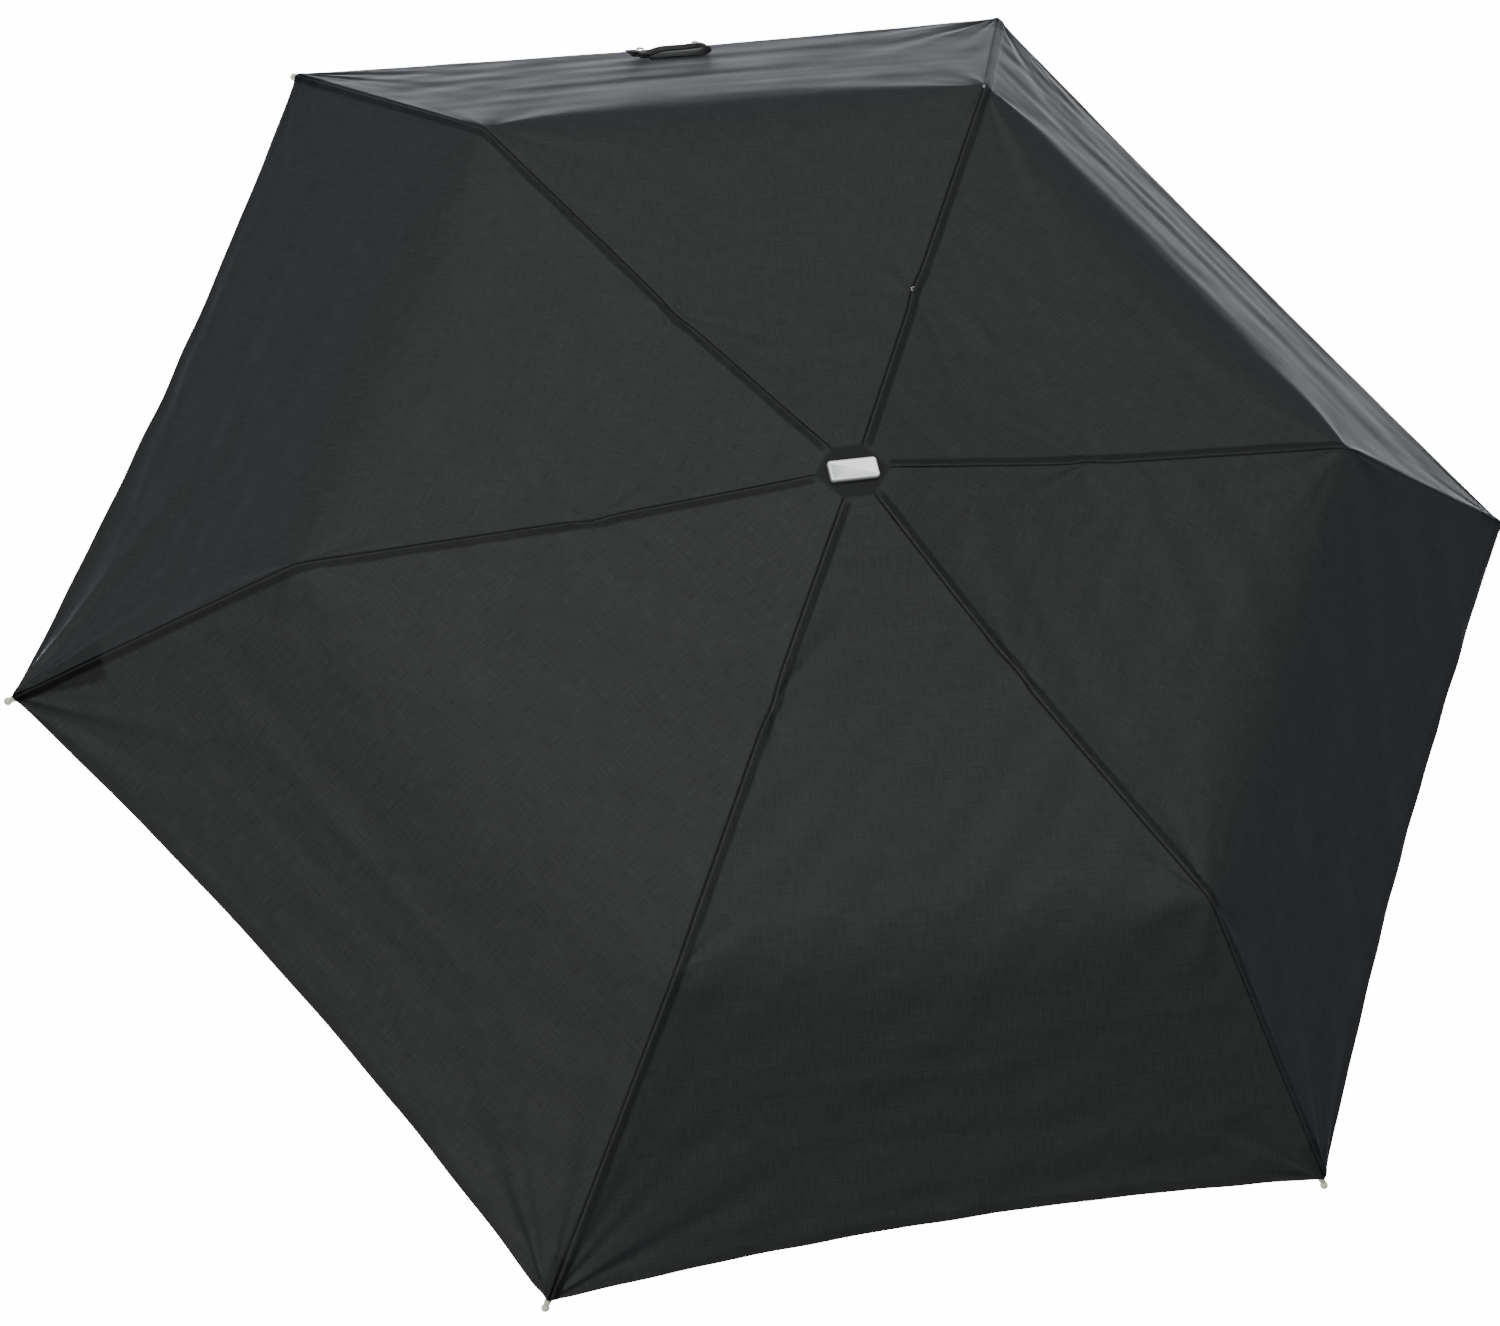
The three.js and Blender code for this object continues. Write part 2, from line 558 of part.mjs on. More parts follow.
function buildRosette() {
  const slope = (CANOPY_Z.hub - CANOPY_Z.s) / (CANOPY_U.s - CANOPY_U.hub);
  const top = CANOPY_Z.hub - CANOPY_THICK - GAP;
  const ribs = RIB_AZIMUTHS.length;
  const rings = [
    (i) => holePoint(i, top),
    (i) => ridgePoint(i, CANOPY_U.hub, top),
    (i) => ridgePoint(i, ROSETTE.u, top - (ROSETTE.u - CANOPY_U.hub) * slope),
  ];
  const points = rings.flatMap((ring) => RIB_AZIMUTHS.map((_, i) => ring(i)));
  const faces = [];
  for (let i = 0; i < ribs; i += 1) {
    const next = (i + 1) % ribs;
    for (const a of [i, ribs + i]) {
      const b = a - i + next;
      faces.push([a, a + ribs, b + ribs], [a, b + ribs, b]);
    }
  }
  addMesh(group, 'canopy_rosette', thickSheet(points, faces, ROSETTE.thick), 'lining');
}

// The closure strap: a flat folded tab lying on the end panel, just inside the hem.
function buildStrap() {
  const { length, width, thick, azimuth, inFromHem } = STRAP;
  const [first, second] = [1, 2]; // the panel between the ribs at 60 and 120 degrees
  const ridge = (u, z) => ridgePoint(first, u, z).add(ridgePoint(second, u, z)).multiplyScalar(0.5);
  const upper = ridge(CANOPY_U.k, CANOPY_Z.k);
  const lower = ridge(CANOPY_U.t, CANOPY_Z.t);
  const down = lower.clone().sub(upper).normalize();
  const across = new THREE.Vector3(Math.sin(rad(azimuth)), -Math.cos(rad(azimuth)), 0);
  const normal = new THREE.Vector3().crossVectors(down, across).normalize();
  if (normal.z < 0) normal.negate();
  const strap = new THREE.BoxGeometry(length, width, thick);
  const centre = hemMiddle(first)
    .addScaledVector(down, -(inFromHem + width / 2)).addScaledVector(normal, thick / 2 + 2 * GAP);
  const basis = new THREE.Matrix4().makeBasis(across, new THREE.Vector3().crossVectors(normal, across),
    normal);
  const mesh = addMesh(group, 'closure_strap', strap, 'fabric');
  mesh.quaternion.setFromRotationMatrix(basis);
  mesh.position.copy(centre);
}

// ---- Assembly ------------------------------------------------------------------------------------

buildShaft(buildHandle());
buildCrown();
buildRunner();
buildRibs();
buildCanopy();
buildRosette();
buildStrap();

export default group;
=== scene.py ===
"""The open folding umbrella: its looks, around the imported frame. Metres, +Z up the shaft."""

import json
import math

import bpy
import numpy as np
from mathutils import Matrix, Vector


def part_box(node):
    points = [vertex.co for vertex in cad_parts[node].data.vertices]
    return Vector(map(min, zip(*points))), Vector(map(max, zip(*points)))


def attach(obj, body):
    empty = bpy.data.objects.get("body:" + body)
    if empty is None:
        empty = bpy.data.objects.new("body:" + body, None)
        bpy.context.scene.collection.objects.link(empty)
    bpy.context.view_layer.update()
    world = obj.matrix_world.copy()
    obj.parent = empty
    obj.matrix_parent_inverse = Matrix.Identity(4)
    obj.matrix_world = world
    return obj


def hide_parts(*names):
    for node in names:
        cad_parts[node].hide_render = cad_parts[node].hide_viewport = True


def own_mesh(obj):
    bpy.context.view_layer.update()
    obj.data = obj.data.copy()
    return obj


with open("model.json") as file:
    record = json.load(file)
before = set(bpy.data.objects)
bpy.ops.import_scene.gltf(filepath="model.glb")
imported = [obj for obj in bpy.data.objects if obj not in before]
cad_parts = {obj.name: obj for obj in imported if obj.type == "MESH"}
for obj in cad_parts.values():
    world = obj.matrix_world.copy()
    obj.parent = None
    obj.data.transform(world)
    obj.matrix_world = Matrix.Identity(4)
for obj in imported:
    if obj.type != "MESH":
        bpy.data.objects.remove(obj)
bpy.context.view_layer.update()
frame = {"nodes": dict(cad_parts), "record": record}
joints = {j["name"]: j for j in frame["record"]["behaviour"]["joints"]}
nodes = frame["nodes"]
MM = 0.001
RIBS = 6


# ---- Camera, light and floor ------------------------------------------------------------------

def add_camera():
    data = bpy.data.cameras.new("camera")
    data.lens, data.sensor_width = 104.0, 36.0
    data.clip_end = 50
    camera = bpy.data.objects.new("camera", data)
    bpy.context.scene.collection.objects.link(camera)
    tip_plane = 0.3419
    right = Vector((0.9584, -0.2133, 0.19)).normalized()
    back = -Vector((0.2619, 0.3901, -0.8827)).normalized()
    up = back.cross(right).normalized()
    right = up.cross(back)
    camera.matrix_world = Matrix.Translation((-0.682, -1.0, 2.1926 + tip_plane)) @ Matrix(
        (right, up, back)
    ).transposed().to_4x4()
    bpy.context.scene.camera = camera


def add_area(name, place, target, size, power):
    data = bpy.data.lights.new(name, "AREA")
    data.shape, data.size, data.energy = "DISK", size, power
    light = bpy.data.objects.new(name, data)
    bpy.context.scene.collection.objects.link(light)
    aim = Vector(target) - Vector(place)
    light.matrix_world = Matrix.Translation(place) @ aim.to_track_quat("-Z", "Y").to_matrix().to_4x4()


def add_stage():
    """A plain white floor far below, in a dim room, glowing brightly near the umbrella: painted light, an emission pool
    rather than a lamp.
    """
    world = bpy.data.worlds.new("studio")
    bpy.context.scene.world = world
    world.use_nodes = True
    background = world.node_tree.nodes["Background"]
    background.inputs["Color"].default_value = (0.93, 0.95, 1.0, 1)
    background.inputs["Strength"].default_value = 0.14
    far = 14.0
    drop = -1.75  # the umbrella is held up by its handle, so the floor lies well below it
    mesh = bpy.data.meshes.new("floor")
    mesh.from_pydata([(-far, -far, drop), (far, -far, drop), (far, far, drop), (-far, far, drop)],
                     [], [(0, 1, 2, 3)])
    floor = bpy.data.objects.new("floor", mesh)
    bpy.context.scene.collection.objects.link(floor)
    material = bpy.data.materials.new("floor")
    material.use_nodes = True
    tree = material.node_tree
    shader = tree.nodes["Principled BSDF"]
    shader.inputs["Base Color"].default_value = (0.9, 0.9, 0.9, 1)
    shader.inputs["Roughness"].default_value = 0.9
    shader.inputs["Emission Color"].default_value = (0.95, 0.97, 1.0, 1)
    place = tree.nodes.new("ShaderNodeTexCoord")
    distance = tree.nodes.new("ShaderNodeVectorMath")
    distance.operation = "DISTANCE"
    distance.inputs[1].default_value = (0.55, 1.25, drop)
    tree.links.new(place.outputs["Object"], distance.inputs[0])
    # Painted light: the floor glows by emission, strongly within 1.75 m of a point behind the umbrella, fading out by
    # 2.9 m.
    floor_glow = tree.nodes.new("ShaderNodeMapRange")
    floor_glow.interpolation_type = "SMOOTHSTEP"
    for name, value in (("From Min", 1.75), ("From Max", 2.9), ("To Min", 15.0), ("To Max", 0.08)):
        floor_glow.inputs[name].default_value = value
    tree.links.new(distance.outputs["Value"], floor_glow.inputs["Value"])
    tree.links.new(floor_glow.outputs[0], shader.inputs["Emission Strength"])
    mesh.materials.append(material)
    add_area("key_light", (-2.2, -1.6, 2.5), (0, 0, 0.4), 2.4, 80)
    add_area("top_light", (0.1, 0.9, 3.4), (0, 0, 0.4), 2.4, 96)


add_camera()
add_stage()


# ---- The ribs, as the frame has them ------------------------------------------------------------

HUB_REACH = 10.5  # in mm, from a top rib's pivot to the edge of the hub
S_LIFT = 3.1 * MM  # from the hinge pins up to the cloth
K_LIFT = 6.1 * MM
TIP_LIFT = 3.4 * MM  # from the canopy's lowest point to the cloth over the ferrule
TIP_REACH = 1.5 * MM


def rib_line(i):
    """The places, in the row frame, over which the canopy bends on rib i."""
    pivot = Vector(joints[f"top_rib_{i}_hinge"]["pos_m"])
    out = Vector((pivot.x, pivot.y, 0)).normalized()
    side = Vector(joints[f"top_rib_{i}_hinge"]["axis"])
    fold_s = Vector(joints[f"middle_rib_{i}_hinge"]["pos_m"])
    fold_k = Vector(joints[f"end_rib_{i}_hinge"]["pos_m"])
    canopy_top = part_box("canopy")[1][2]
    hub = pivot + out * HUB_REACH * MM
    hub.z = canopy_top
    tip_low, tip_high = (Vector(p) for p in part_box(f"rib_tip_{i}"))
    middle = out * (((tip_low + tip_high) / 2).dot(out) + TIP_REACH)
    tip = Vector((middle.x, middle.y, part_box("canopy")[0][2] + TIP_LIFT))
    return {
        "out": out,
        "side": side,
        "points": [hub, fold_s + Vector((0, 0, S_LIFT)), fold_k + Vector((0, 0, K_LIFT)), tip],
    }


ribs = [rib_line(i + 1) for i in range(RIBS)]


# ---- Canopy surface -------------------------------------------------------------------------------

HUB_ROWS = 9
ROWS = (30, 40, 66)  # along the rib: hub to S, S to K, K to hem
COLUMNS = 84  # across one gore
EDGE_CROWDING = 0.86
HEM_DIP = 12 * MM
CLOTH = 0.35 * MM
SHADED_SEAM_BAND = 6 * MM  # width of the raised seam allowance beside each rib, darkened with painted shade
FAR_GORES = (0, 1)  # the two panels behind the cap, where the cloth ripples most
TIP_PULL = (0.35, 0.8, 0.5, 1.0, 0.95, 0.4)  # how hard the cloth gathers at each rib tip, in mm
random = np.random.default_rng(41)


def smooth(x):
    x = np.clip(x, 0, 1)
    return x * x * (3 - 2 * x)


def spread_columns():
    u = np.linspace(0, 1, COLUMNS + 1)
    return u - EDGE_CROWDING * np.sin(2 * np.pi * u) / (2 * np.pi)


def row_fractions():
    """Positions along the rib: -1 at the middle of the crown, 0 at the hub, 1 at S, 2 at K, 3 at the hem."""
    crown = np.linspace(-0.94, 0, HUB_ROWS + 1)[:-1]
    first = np.linspace(0, 1, ROWS[0] + 1)
    second = 1 + np.linspace(0, 1, ROWS[1] + 1)[1:]
    u = np.linspace(0, 1, ROWS[2] + 1)[1:]
    third = 3 - (1 - u) ** 1.35
    return np.concatenate([crown, first, second, third])


def rounded_line(points, lengths, s, h):
    """A line through points, with each inner corner rounded over h to either side. s, h: arrays."""
    starts = np.concatenate([[0], np.cumsum(lengths)])
    ways = [(np.array(points[k + 1]) - np.array(points[k])) / lengths[k] for k in range(len(lengths))]
    place = np.zeros(s.shape + (3,))
    for k, way in enumerate(ways):
        low = -1e9 if k == 0 else starts[k]
        high = 1e9 if k == len(ways) - 1 else starts[k + 1]
        inside = (s >= low) & (s < high)
        place[inside] = np.array(points[k]) + (s[inside] - starts[k])[:, None] * way
    for k in range(1, len(ways)):
        x = np.clip(h - np.abs(s - starts[k]), 0, None)
        place += ((ways[k] - ways[k - 1]) * (x**2 / (4 * h))[..., None])
    return place


def fan(across, along, size, start, fade, turns):
    """Folds that spread from a point, across and along from it, size high at most."""
    r, angle = np.hypot(across, along), np.arctan2(across, np.abs(along))
    wave = sum(np.cos(n * angle + random.uniform(0, 2 * np.pi)) * turns[0] / n for n in turns)
    near = smooth((r - start * 0.3) / start) * np.exp(-((r / fade) ** 1.5)) * smooth(angle / 0.12)
    return size * wave * near


def creases(s, x, low, high, count, size, half):
    """Soft folds pressed into the cloth, nearly parallel to the hem."""
    h = np.zeros_like(s)
    for _ in range(count):
        at, lean = random.uniform(low, high), random.uniform(-0.07, 0.07)
        middle, reach = random.uniform(-half, half) * 0.6, random.uniform(0.25, 0.8) * half
        width = random.uniform(4.5, 9) * MM
        line = np.exp(-(((s - at - lean * x) / width) ** 2))
        h += random.uniform(-1, 1) * size * line * np.exp(-(((x - middle) / reach) ** 4))
    return h


def relief(i, t, s, width, total):
    """The height of the folds over the smooth surface of gore i, and how dark the cloth is coloured there, painted
    shade beside the ribs included.
    """
    near, far, x = t * width, (1 - t) * width, (t - 0.5) * width
    edge = np.minimum(near, far)
    inner = smooth(edge / (14 * MM))
    h = np.zeros_like(s)
    for rib, across in ((i, near), ((i + 1) % RIBS, far)):
        pull = TIP_PULL[rib] * MM * (0.45 if i in FAR_GORES else 1.0)
        h += fan(across, total[3] - s, 1.1 * pull, 10 * MM, 105 * MM, (9, 14, 23))
        h += fan(across, s - total[2], 0.55 * MM, 10 * MM, 70 * MM, (7, 12))
        h += fan(across, s - total[1], 0.45 * MM, 6 * MM, 34 * MM, (8, 13))
        h -= 0.35 * MM * (across / (22 * MM)) * np.exp(1 - across / (22 * MM)) * smooth(s / (60 * MM))
    half, calm = width.max() / 2, 0.3 if i in FAR_GORES else 1.0
    h += inner * creases(s, x, 30 * MM, total[2], 18, 0.55 * MM, half * 0.5)
    h += inner * creases(s, x, total[2] - 20 * MM, total[3], 18, 0.65 * MM * calm, half)
    for _ in range(5):
        a, b = random.uniform(40, 90, 2)
        h += inner * calm * 0.15 * MM * np.cos(s / MM / a * 6.28 + x / MM / b * 6.28 + random.uniform(0, 6.28))
    if i in FAR_GORES:
        outer = smooth((s - total[2] - 15 * MM) / (60 * MM)) * smooth((total[3] - s) / (25 * MM))
        for wave in (24, 37, 52):
            bend = random.uniform(0.03, 0.09) * x + 6 * MM * np.cos(x / (65 * MM) + random.uniform(0, 6))
            swing = np.cos((s + bend) / (wave * MM) * 6.28 + random.uniform(0, 6.28))
            h += inner * outer * 0.12 * MM * swing * (0.6 + 0.4 * np.cos(x / (80 * MM) + wave))
    shade = np.ones_like(s)
    # At each rib a dark seam line, and on one side a raised strip with painted shade.
    for rib, across, seam_shaded in ((i, near, i != 1), ((i + 1) % RIBS, far, (i + 1) % RIBS == 1)):
        h -= 0.55 * MM * np.exp(-((across / (0.9 * MM)) ** 2))
        shade -= 0.72 * np.exp(-((across / (0.75 * MM)) ** 2))
        if seam_shaded:
            # The seam allowance: a strip raised 0.32 mm beside the rib, darkened by 0.42 with painted shade.
            band = smooth((across - 1.1 * MM) / (0.8 * MM)) * smooth((SHADED_SEAM_BAND - across) / (0.7 * MM) + 0.5)
            band *= smooth((s + 1 * MM) / (5 * MM))
            h += 0.32 * MM * band
            shade -= 0.42 * band
            # A thin painted highlight along the strip's inner edge, 1.5 mm from the rib.
            shade += 0.25 * np.exp(-(((across - 1.5 * MM) / (0.5 * MM)) ** 2)) * (s > 4 * MM)
        reach = (62 if rib == 3 else 26) * MM
        patch = smooth((reach - (total[3] - s) - across * 0.5) / (2.5 * MM) + 0.5)
        patch *= smooth((0.2 * (total[3] - s) + 4 * MM - across) / (1.2 * MM) + 0.5)
        h += 0.18 * MM * patch
        shade -= (0.38 if rib == 3 and seam_shaded else 0.2) * patch
    return h, shade


def canopy_grid():
    """The outer surface as a grid: rows from the crown to the hem, columns round all six gores."""
    across = spread_columns()
    rows = row_fractions()
    blocks, uvs, shades, reliefs = [], [], [], []
    centre = np.array([0, 0, ribs[0]["points"][0].z])
    for i in range(RIBS):
        a, b = ribs[i], ribs[(i + 1) % RIBS]
        f, t = np.meshgrid(rows, across, indexing="ij")
        bow = 4 * t * (1 - t)
        surface = []
        for rib in (a, b):
            lengths = [(rib["points"][k + 1] - rib["points"][k]).length for k in range(3)]
            total = np.concatenate([[0], np.cumsum(lengths)])
            reach = lengths[2] - HEM_DIP * bow
            s = np.where(f <= 1, np.clip(f, 0, None) * lengths[0],
                         np.where(f <= 2, total[1] + (f - 1) * lengths[1], total[2] + (f - 2) * reach))
            h = (5 + 34 * bow) * MM
            surface.append(rounded_line([tuple(p) for p in rib["points"]], lengths, s, h))
        block = surface[0] * (1 - t)[..., None] + surface[1] * t[..., None]
        width = np.linalg.norm(surface[1] - surface[0], axis=-1)
        crown = f < 0
        block[crown] = centre + (block[crown] - centre) * (1 + f[crown])[:, None]
        bulge, shade = relief(i, t, s, width, total)
        hem = smooth((f - 2.955) / 0.012)
        shade -= 0.12 * hem
        bulge += 0.12 * MM * hem
        jog = np.exp(-(((s - total[1]) / (10 * MM)) ** 2)) * 1.3 * MM
        for rib, gap in ((a, t * width), (b, (1 - t) * width)):
            block += np.array(rib["side"])[None, None] * (jog * np.exp(-((gap / (14 * MM)) ** 2)))[..., None]
        bulge[crown] = 0
        shade[crown] = 0.62
        fade = np.clip(s / (14 * MM), 0, 1)
        bulge *= fade
        blocks.append(block)
        uvs.append(np.stack([(t - 0.5) * width + i * 0.61, s + i * 0.37], -1))
        shades.append(shade)
        reliefs.append(bulge)
    grid = np.concatenate([block[:, :-1] for block in blocks], 1)
    grid = grid + grid_normals(grid) * np.concatenate([h[:, :-1] for h in reliefs], 1)[..., None]
    return grid, uvs, np.concatenate([x[:, :-1] for x in shades], 1)


def grid_normals(grid):
    down = np.gradient(grid, axis=0)
    round_ = (np.roll(grid, -1, 1) - np.roll(grid, 1, 1)) / 2
    n = np.cross(down, round_)
    return n / np.linalg.norm(n, axis=-1, keepdims=True)


grid, gore_uvs, shades = canopy_grid()
normals = grid_normals(grid)


def add_mesh(name, verts, faces, body, material, normal=None):
    """A mesh piece in the row frame that rides on a body."""
    mesh = bpy.data.meshes.new(name)
    mesh.from_pydata([tuple(map(float, v)) for v in verts], [], [tuple(map(int, f)) for f in faces])
    mesh.polygons.foreach_set("use_smooth", [True] * len(mesh.polygons))
    if normal is not None:
        mesh.normals_split_custom_set_from_vertices([tuple(map(float, n)) for n in normal])
    piece = bpy.data.objects.new(name, mesh)
    bpy.context.scene.collection.objects.link(piece)
    mesh.materials.append(material)
    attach(piece, body)
    return piece


def grid_piece(name, rows, gore, span_of_columns, body, material):
    """One closed piece of the canopy's cloth, cut out of the whole surface. gore None: all round."""
    ring = gore is None
    first, last = span_of_columns
    columns = list(range(first, last)) if ring else list(range(gore * COLUMNS + first, gore * COLUMNS + last + 1))
    picked = np.ix_(rows, [c % grid.shape[1] for c in columns])
    top, n, shade = grid[picked], normals[picked], shades[picked]
    height, width = top.shape[:2]
    count = height * width
    verts = np.concatenate([top.reshape(-1, 3), (top - n * CLOTH).reshape(-1, 3)])
    index = np.arange(count).reshape(height, width)
    right = np.roll(index, -1, 1) if ring else index[:, 1:]
    left = index if ring else index[:, :-1]
    quads = np.stack([left[:-1], left[1:], right[1:], right[:-1]], -1).reshape(-1, 4)
    walls = []
    for edge, flip in ((0, True), (height - 1, False)):
        walls += [(a, b, b + count, a + count)[:: 1 if flip else -1] for a, b in zip(left[edge], right[edge])]
    if not ring:
        for edge, flip in ((0, False), (width - 1, True)):
            pairs = zip(index[:-1, edge], index[1:, edge])
            walls += [(a, b, b + count, a + count)[:: 1 if flip else -1] for a, b in pairs]
    walls = [w[::-1] for w in walls]
    faces = quads.tolist() + (quads[:, ::-1] + count).tolist() + walls
    piece = add_mesh(name, verts, faces, body, material,
                     np.concatenate([n.reshape(-1, 3), -n.reshape(-1, 3)]))
    mesh = piece.data
    tone = mesh.attributes.new("shade", "FLOAT", "POINT")
    tone.data.foreach_set("value", np.tile(shade.reshape(-1), 2).astype(np.float32))
    flat = verts[:count, :2] if ring else gore_uvs[gore][rows][:, first:last + 1].reshape(-1, 2)
    uv = np.tile(flat, (2, 1))
    layer = mesh.uv_layers.new(name="cloth")
    corner = np.zeros(len(mesh.loops), np.int32)
    mesh.loops.foreach_get("vertex_index", corner)
    layer.data.foreach_set("uv", uv[corner].astype(np.float32).reshape(-1))
    return piece


# ---- Materials ------------------------------------------------------------------------------------

def add_node(tree, kind, **values):
    node = tree.nodes.new(kind)
    for name, value in values.items():
        if name in node.inputs:
            node.inputs[name].default_value = value
        else:
            setattr(node, name, value)
    return node


def grain(tree, place, stretch, detail=3.0, roughness=0.55, distortion=0.0):
    """A noise whose cells are 1/stretch of a metre along each axis of place."""
    mapping = add_node(tree, "ShaderNodeMapping", Scale=stretch)
    tree.links.new(place, mapping.inputs["Vector"])
    noise = add_node(tree, "ShaderNodeTexNoise", Scale=1.0, Detail=detail, Roughness=roughness,
                     Distortion=distortion)
    tree.links.new(mapping.outputs[0], noise.inputs["Vector"])
    return noise.outputs[0]


def ramp(tree, value, low, high, low_colour, high_colour):
    node = add_node(tree, "ShaderNodeValToRGB")
    for element, at, colour in zip(node.color_ramp.elements, (low, high), (low_colour, high_colour)):
        element.position, element.color = at, (*colour, 1)
    tree.links.new(value, node.inputs[0])
    return node.outputs[0]


def span(tree, value, low, high):
    node = add_node(tree, "ShaderNodeMapRange")
    node.inputs["From Min"].default_value, node.inputs["From Max"].default_value = 0.3, 0.7
    node.inputs["To Min"].default_value, node.inputs["To Max"].default_value = low, high
    tree.links.new(value, node.inputs["Value"])
    return node.outputs[0]


def bump(tree, height, distance, strength=1.0, under=None):
    node = add_node(tree, "ShaderNodeBump", Strength=strength, Distance=distance)
    tree.links.new(height, node.inputs["Height"])
    if under is not None:
        tree.links.new(under, node.inputs["Normal"])
    return node.outputs[0]


def start_material(name, **values):
    material = bpy.data.materials.new(name)
    material.use_nodes = True
    tree = material.node_tree
    shader = tree.nodes["Principled BSDF"]
    for key, value in values.items():
        shader.inputs[key.replace("_", " ")].default_value = value
    return material, tree, shader


def scaled(colour, k):
    return tuple(c * k for c in colour)


def cloth_material(name, colour, rough, sheen, uv_name=None, rest=1.0):
    """Satin polyester: fine threads both ways, soft creases along the hem, a cool sheen at low angles."""
    material, tree, shader = start_material(name, Roughness=rough, Sheen_Weight=sheen, Sheen_Roughness=0.45,
                                            Sheen_Tint=(0.62, 0.72, 1.0, 1), Specular_IOR_Level=0.14)
    if uv_name:
        place = add_node(tree, "ShaderNodeUVMap", uv_map=uv_name).outputs[0]
    else:
        place = add_node(tree, "ShaderNodeTexCoord").outputs["Object"]
    warp = grain(tree, place, (1500, 70, 70), 2)
    weft = grain(tree, place, (60, 1700, 1700), 2)
    fold = grain(tree, place, (16, 110, 60), 2, 0.5, 0.5)
    patch = grain(tree, place, (22, 30, 22), 4, 0.6)
    threads = add_node(tree, "ShaderNodeMath", operation="ADD")
    tree.links.new(warp, threads.inputs[0])
    tree.links.new(weft, threads.inputs[1])
    half = add_node(tree, "ShaderNodeMath", operation="MULTIPLY")
    half.inputs[1].default_value = 0.5
    tree.links.new(threads.outputs[0], half.inputs[0])
    tone = ramp(tree, half.outputs[0], 0.36, 0.64, scaled(colour, 0.78), scaled(colour, 1.24))
    if uv_name:
        # The shade attribute darkens the colour and gloss: seam lines, hem, hub and tip patches, and the painted shade
        # beside the ribs.
        shade = add_node(tree, "ShaderNodeAttribute", attribute_name="shade")
        mixed = add_node(tree, "ShaderNodeVectorMath", operation="SCALE")
        tree.links.new(tone, mixed.inputs[0])
        tree.links.new(shade.outputs["Fac"], mixed.inputs["Scale"])
        tone = mixed.outputs[0]
        gloss = add_node(tree, "ShaderNodeMath", operation="MULTIPLY")
        gloss.inputs[1].default_value = 0.085
        tree.links.new(shade.outputs["Fac"], gloss.inputs[0])
        tree.links.new(gloss.outputs[0], shader.inputs["Specular IOR Level"])
    tree.links.new(tone, shader.inputs["Base Color"])
    tree.links.new(span(tree, patch, rough - 0.05, rough + 0.06), shader.inputs["Roughness"])
    normal = bump(tree, fold, 0.5 * MM, rest)
    normal = bump(tree, patch, 0.5 * MM, 0.15 * rest, normal)
    normal = bump(tree, half.outputs[0], 0.006 * MM, 0.7, normal)
    tree.links.new(normal, shader.inputs["Normal"])
    return material


def hard_material(name, colour, rough, metallic=0.0, spread=0.18, scratch=0.0, pitch=0.0, along=(1, 1, 1),
                  worn=None):
    """Plastic, paint or metal: patchy tone and gloss, moulding grain or drawn lines, and handled wear."""
    material, tree, shader = start_material(name, Roughness=rough, Metallic=metallic)
    place = add_node(tree, "ShaderNodeTexCoord").outputs["Object"]
    cloud = grain(tree, place, (38, 38, 38), 5, 0.6)
    tone = ramp(tree, cloud, 0.32, 0.68, scaled(colour, 1 - spread), scaled(colour, 1 + spread))
    fine = grain(tree, place, tuple(900 * a for a in along), 3)
    if worn:
        rub = grain(tree, place, (120, 120, 120), 6, 0.75, 0.6)
        mask = ramp(tree, rub, 0.62, 0.72, (0, 0, 0), (0.5, 0.5, 0.5))
        blend = add_node(tree, "ShaderNodeMix", data_type="RGBA")
        tree.links.new(mask, blend.inputs[0])
        tree.links.new(tone, blend.inputs[6])
        blend.inputs[7].default_value = (*worn, 1)
        tone = blend.outputs[2]
    tree.links.new(tone, shader.inputs["Base Color"])
    tree.links.new(span(tree, cloud, rough * 0.8, min(1.0, rough * 1.25)), shader.inputs["Roughness"])
    normal = bump(tree, fine, max(pitch, 0.01) * MM, 0.6)
    if scratch:
        lines = grain(tree, place, (300, 300, 12), 4, 0.7, 0.3)
        normal = bump(tree, lines, scratch * MM, 0.5, normal)
    tree.links.new(normal, shader.inputs["Normal"])
    return material


canopy_cloth = cloth_material("canopy_cloth", (0.0248, 0.0258, 0.0258), 0.64, 0.06, "cloth", 0.2)
lining_cloth = cloth_material("lining_cloth", (0.010, 0.010, 0.0105), 0.6, 0.1)
strap_cloth = cloth_material("strap_webbing", (0.006, 0.006, 0.0065), 0.9, 0.0)
thread = hard_material("stitch_thread", (0.62, 0.62, 0.60), 0.7, pitch=0.05)
dark_thread = hard_material("stitch_thread_black", (0.012, 0.012, 0.013), 0.7, pitch=0.05)
black_plastic = hard_material("black_plastic", (0.018, 0.018, 0.019), 0.42, pitch=0.05, worn=(0.05, 0.05, 0.052))
grey_plastic = hard_material("grey_plastic", (0.07, 0.071, 0.075), 0.45, pitch=0.04)
cream_plastic = hard_material("cream_plastic", (0.56, 0.53, 0.44), 0.38, pitch=0.02, worn=(0.35, 0.32, 0.25))
aluminium = hard_material("drawn_aluminium", (0.66, 0.67, 0.69), 0.3, 1.0, 0.06, 0.03, 0.01, (1, 1, 0.02))
enamel = hard_material("black_enamel", (0.02, 0.02, 0.022), 0.34, pitch=0.02, worn=(0.10, 0.10, 0.10))
zinc = hard_material("zinc_plate", (0.58, 0.58, 0.59), 0.34, 1.0, 0.1, 0.02, 0.02)
silver = hard_material("satin_silver", (0.60, 0.615, 0.62), 0.36, 0.35, 0.04, pitch=0.015)

